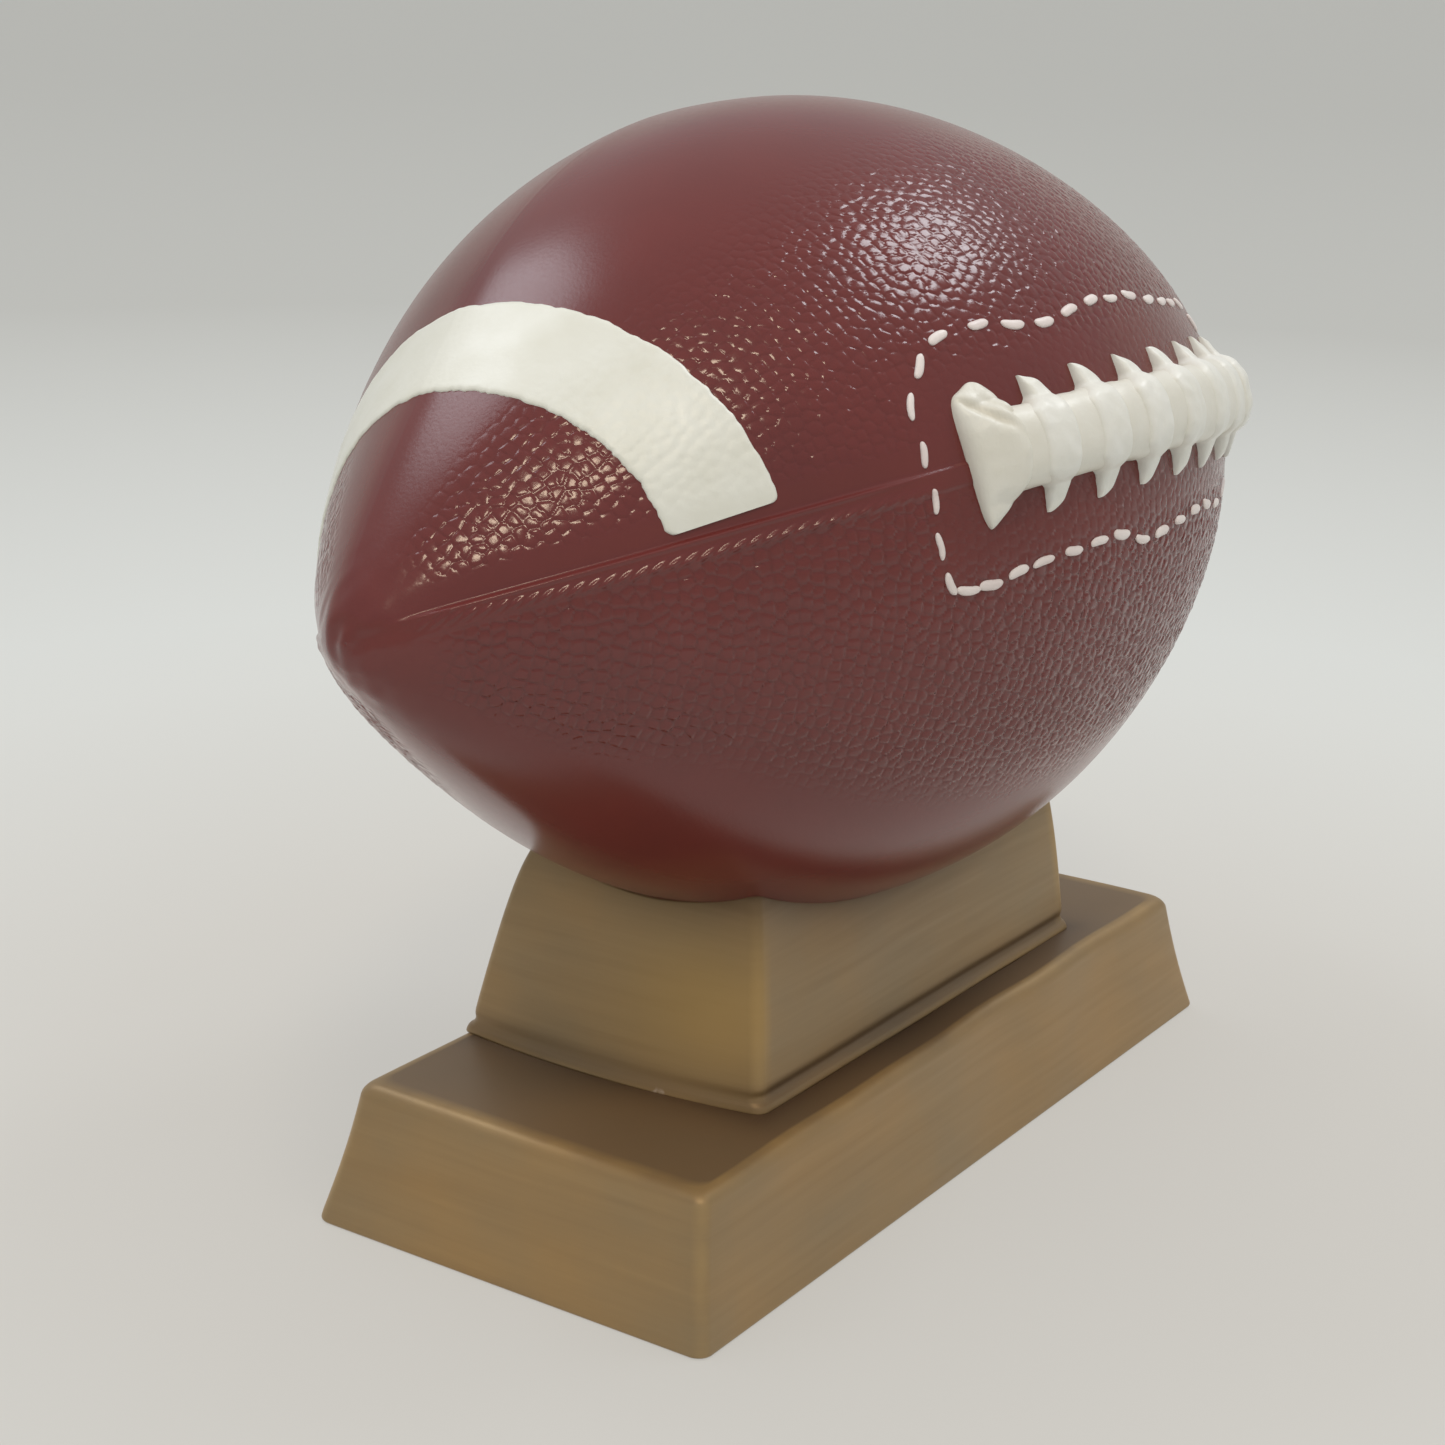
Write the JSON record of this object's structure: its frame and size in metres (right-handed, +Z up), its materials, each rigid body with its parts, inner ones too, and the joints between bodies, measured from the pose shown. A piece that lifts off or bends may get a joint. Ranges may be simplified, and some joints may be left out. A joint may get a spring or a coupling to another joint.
{
  "type": "football keepsake on plinth",
  "caption": "Hollow cast football with raised laces and end stripes, seated in the saddle of a stepped bronze plinth and opened by a screwed stopper underneath.",
  "frame": {"origin": "on the table, under the middle of the ball's axis", "axes": "+X along the ball, +Z up, the lacing faces -Y"},
  "size_m": [0.28, 0.155, 0.2018],
  "materials": {
    "ball_paint": "semi-gloss paint over a pebbled casting",
    "stripe_paint": "thick gloss paint",
    "lace_paint": "gloss paint",
    "stitch_paint": "gloss paint",
    "bronze_paint": "brushed antique bronze paint",
    "zinc_steel": "zinc plated",
    "insert_brass": "plain",
    "raw_resin": "unpainted casting",
    "board": "plain fibreboard",
    "felt": "felt",
    "stopper_plastic": "satin",
    "seal_rubber": "matt"
  },
  "bodies": {
    "keepsake": {"ball_upper_shell": "ball_paint", "ball_lower_shell": "ball_paint", "stripe_left": "stripe_paint", "stripe_right": "stripe_paint", "lace_strip": "lace_paint", "cross_lace_1": "lace_paint", "cross_lace_2": "lace_paint", "cross_lace_3": "lace_paint", "cross_lace_4": "lace_paint", "cross_lace_5": "lace_paint", "cross_lace_6": "lace_paint", "cross_lace_7": "lace_paint", "cross_lace_8": "lace_paint", "panel_stitches": "stitch_paint", "pedestal": "bronze_paint", "base": "bronze_paint", "tie_rods": "zinc_steel", "rod_washers": "zinc_steel", "rod_nuts": "zinc_steel", "plate_screws": "zinc_steel", "rod_inserts": "insert_brass", "rod_blocks": "raw_resin", "bottom_plate": "board", "base_pad": "felt", "stopper_collar": "stopper_plastic"},
    "gasket": {"stopper_gasket": "seal_rubber"},
    "stopper": {"stopper": "stopper_plastic"}
  },
  "joints": [
    {"name": "stopper_drop", "type": "slide", "parent": "keepsake", "child": "gasket", "axis": [0, 0, -1], "range_m": [0, 0.009]},
    {"name": "stopper_turn", "type": "hinge", "parent": "gasket", "child": "stopper", "pos_m": [0, -0.004, 0.005], "axis": [0, 0, -1], "range_deg": [0, 1080]}
  ],
  "couplings": [
    {"joint": "stopper_drop", "follows": "stopper_turn", "m_per_rad": 0.00047746}
  ]
}
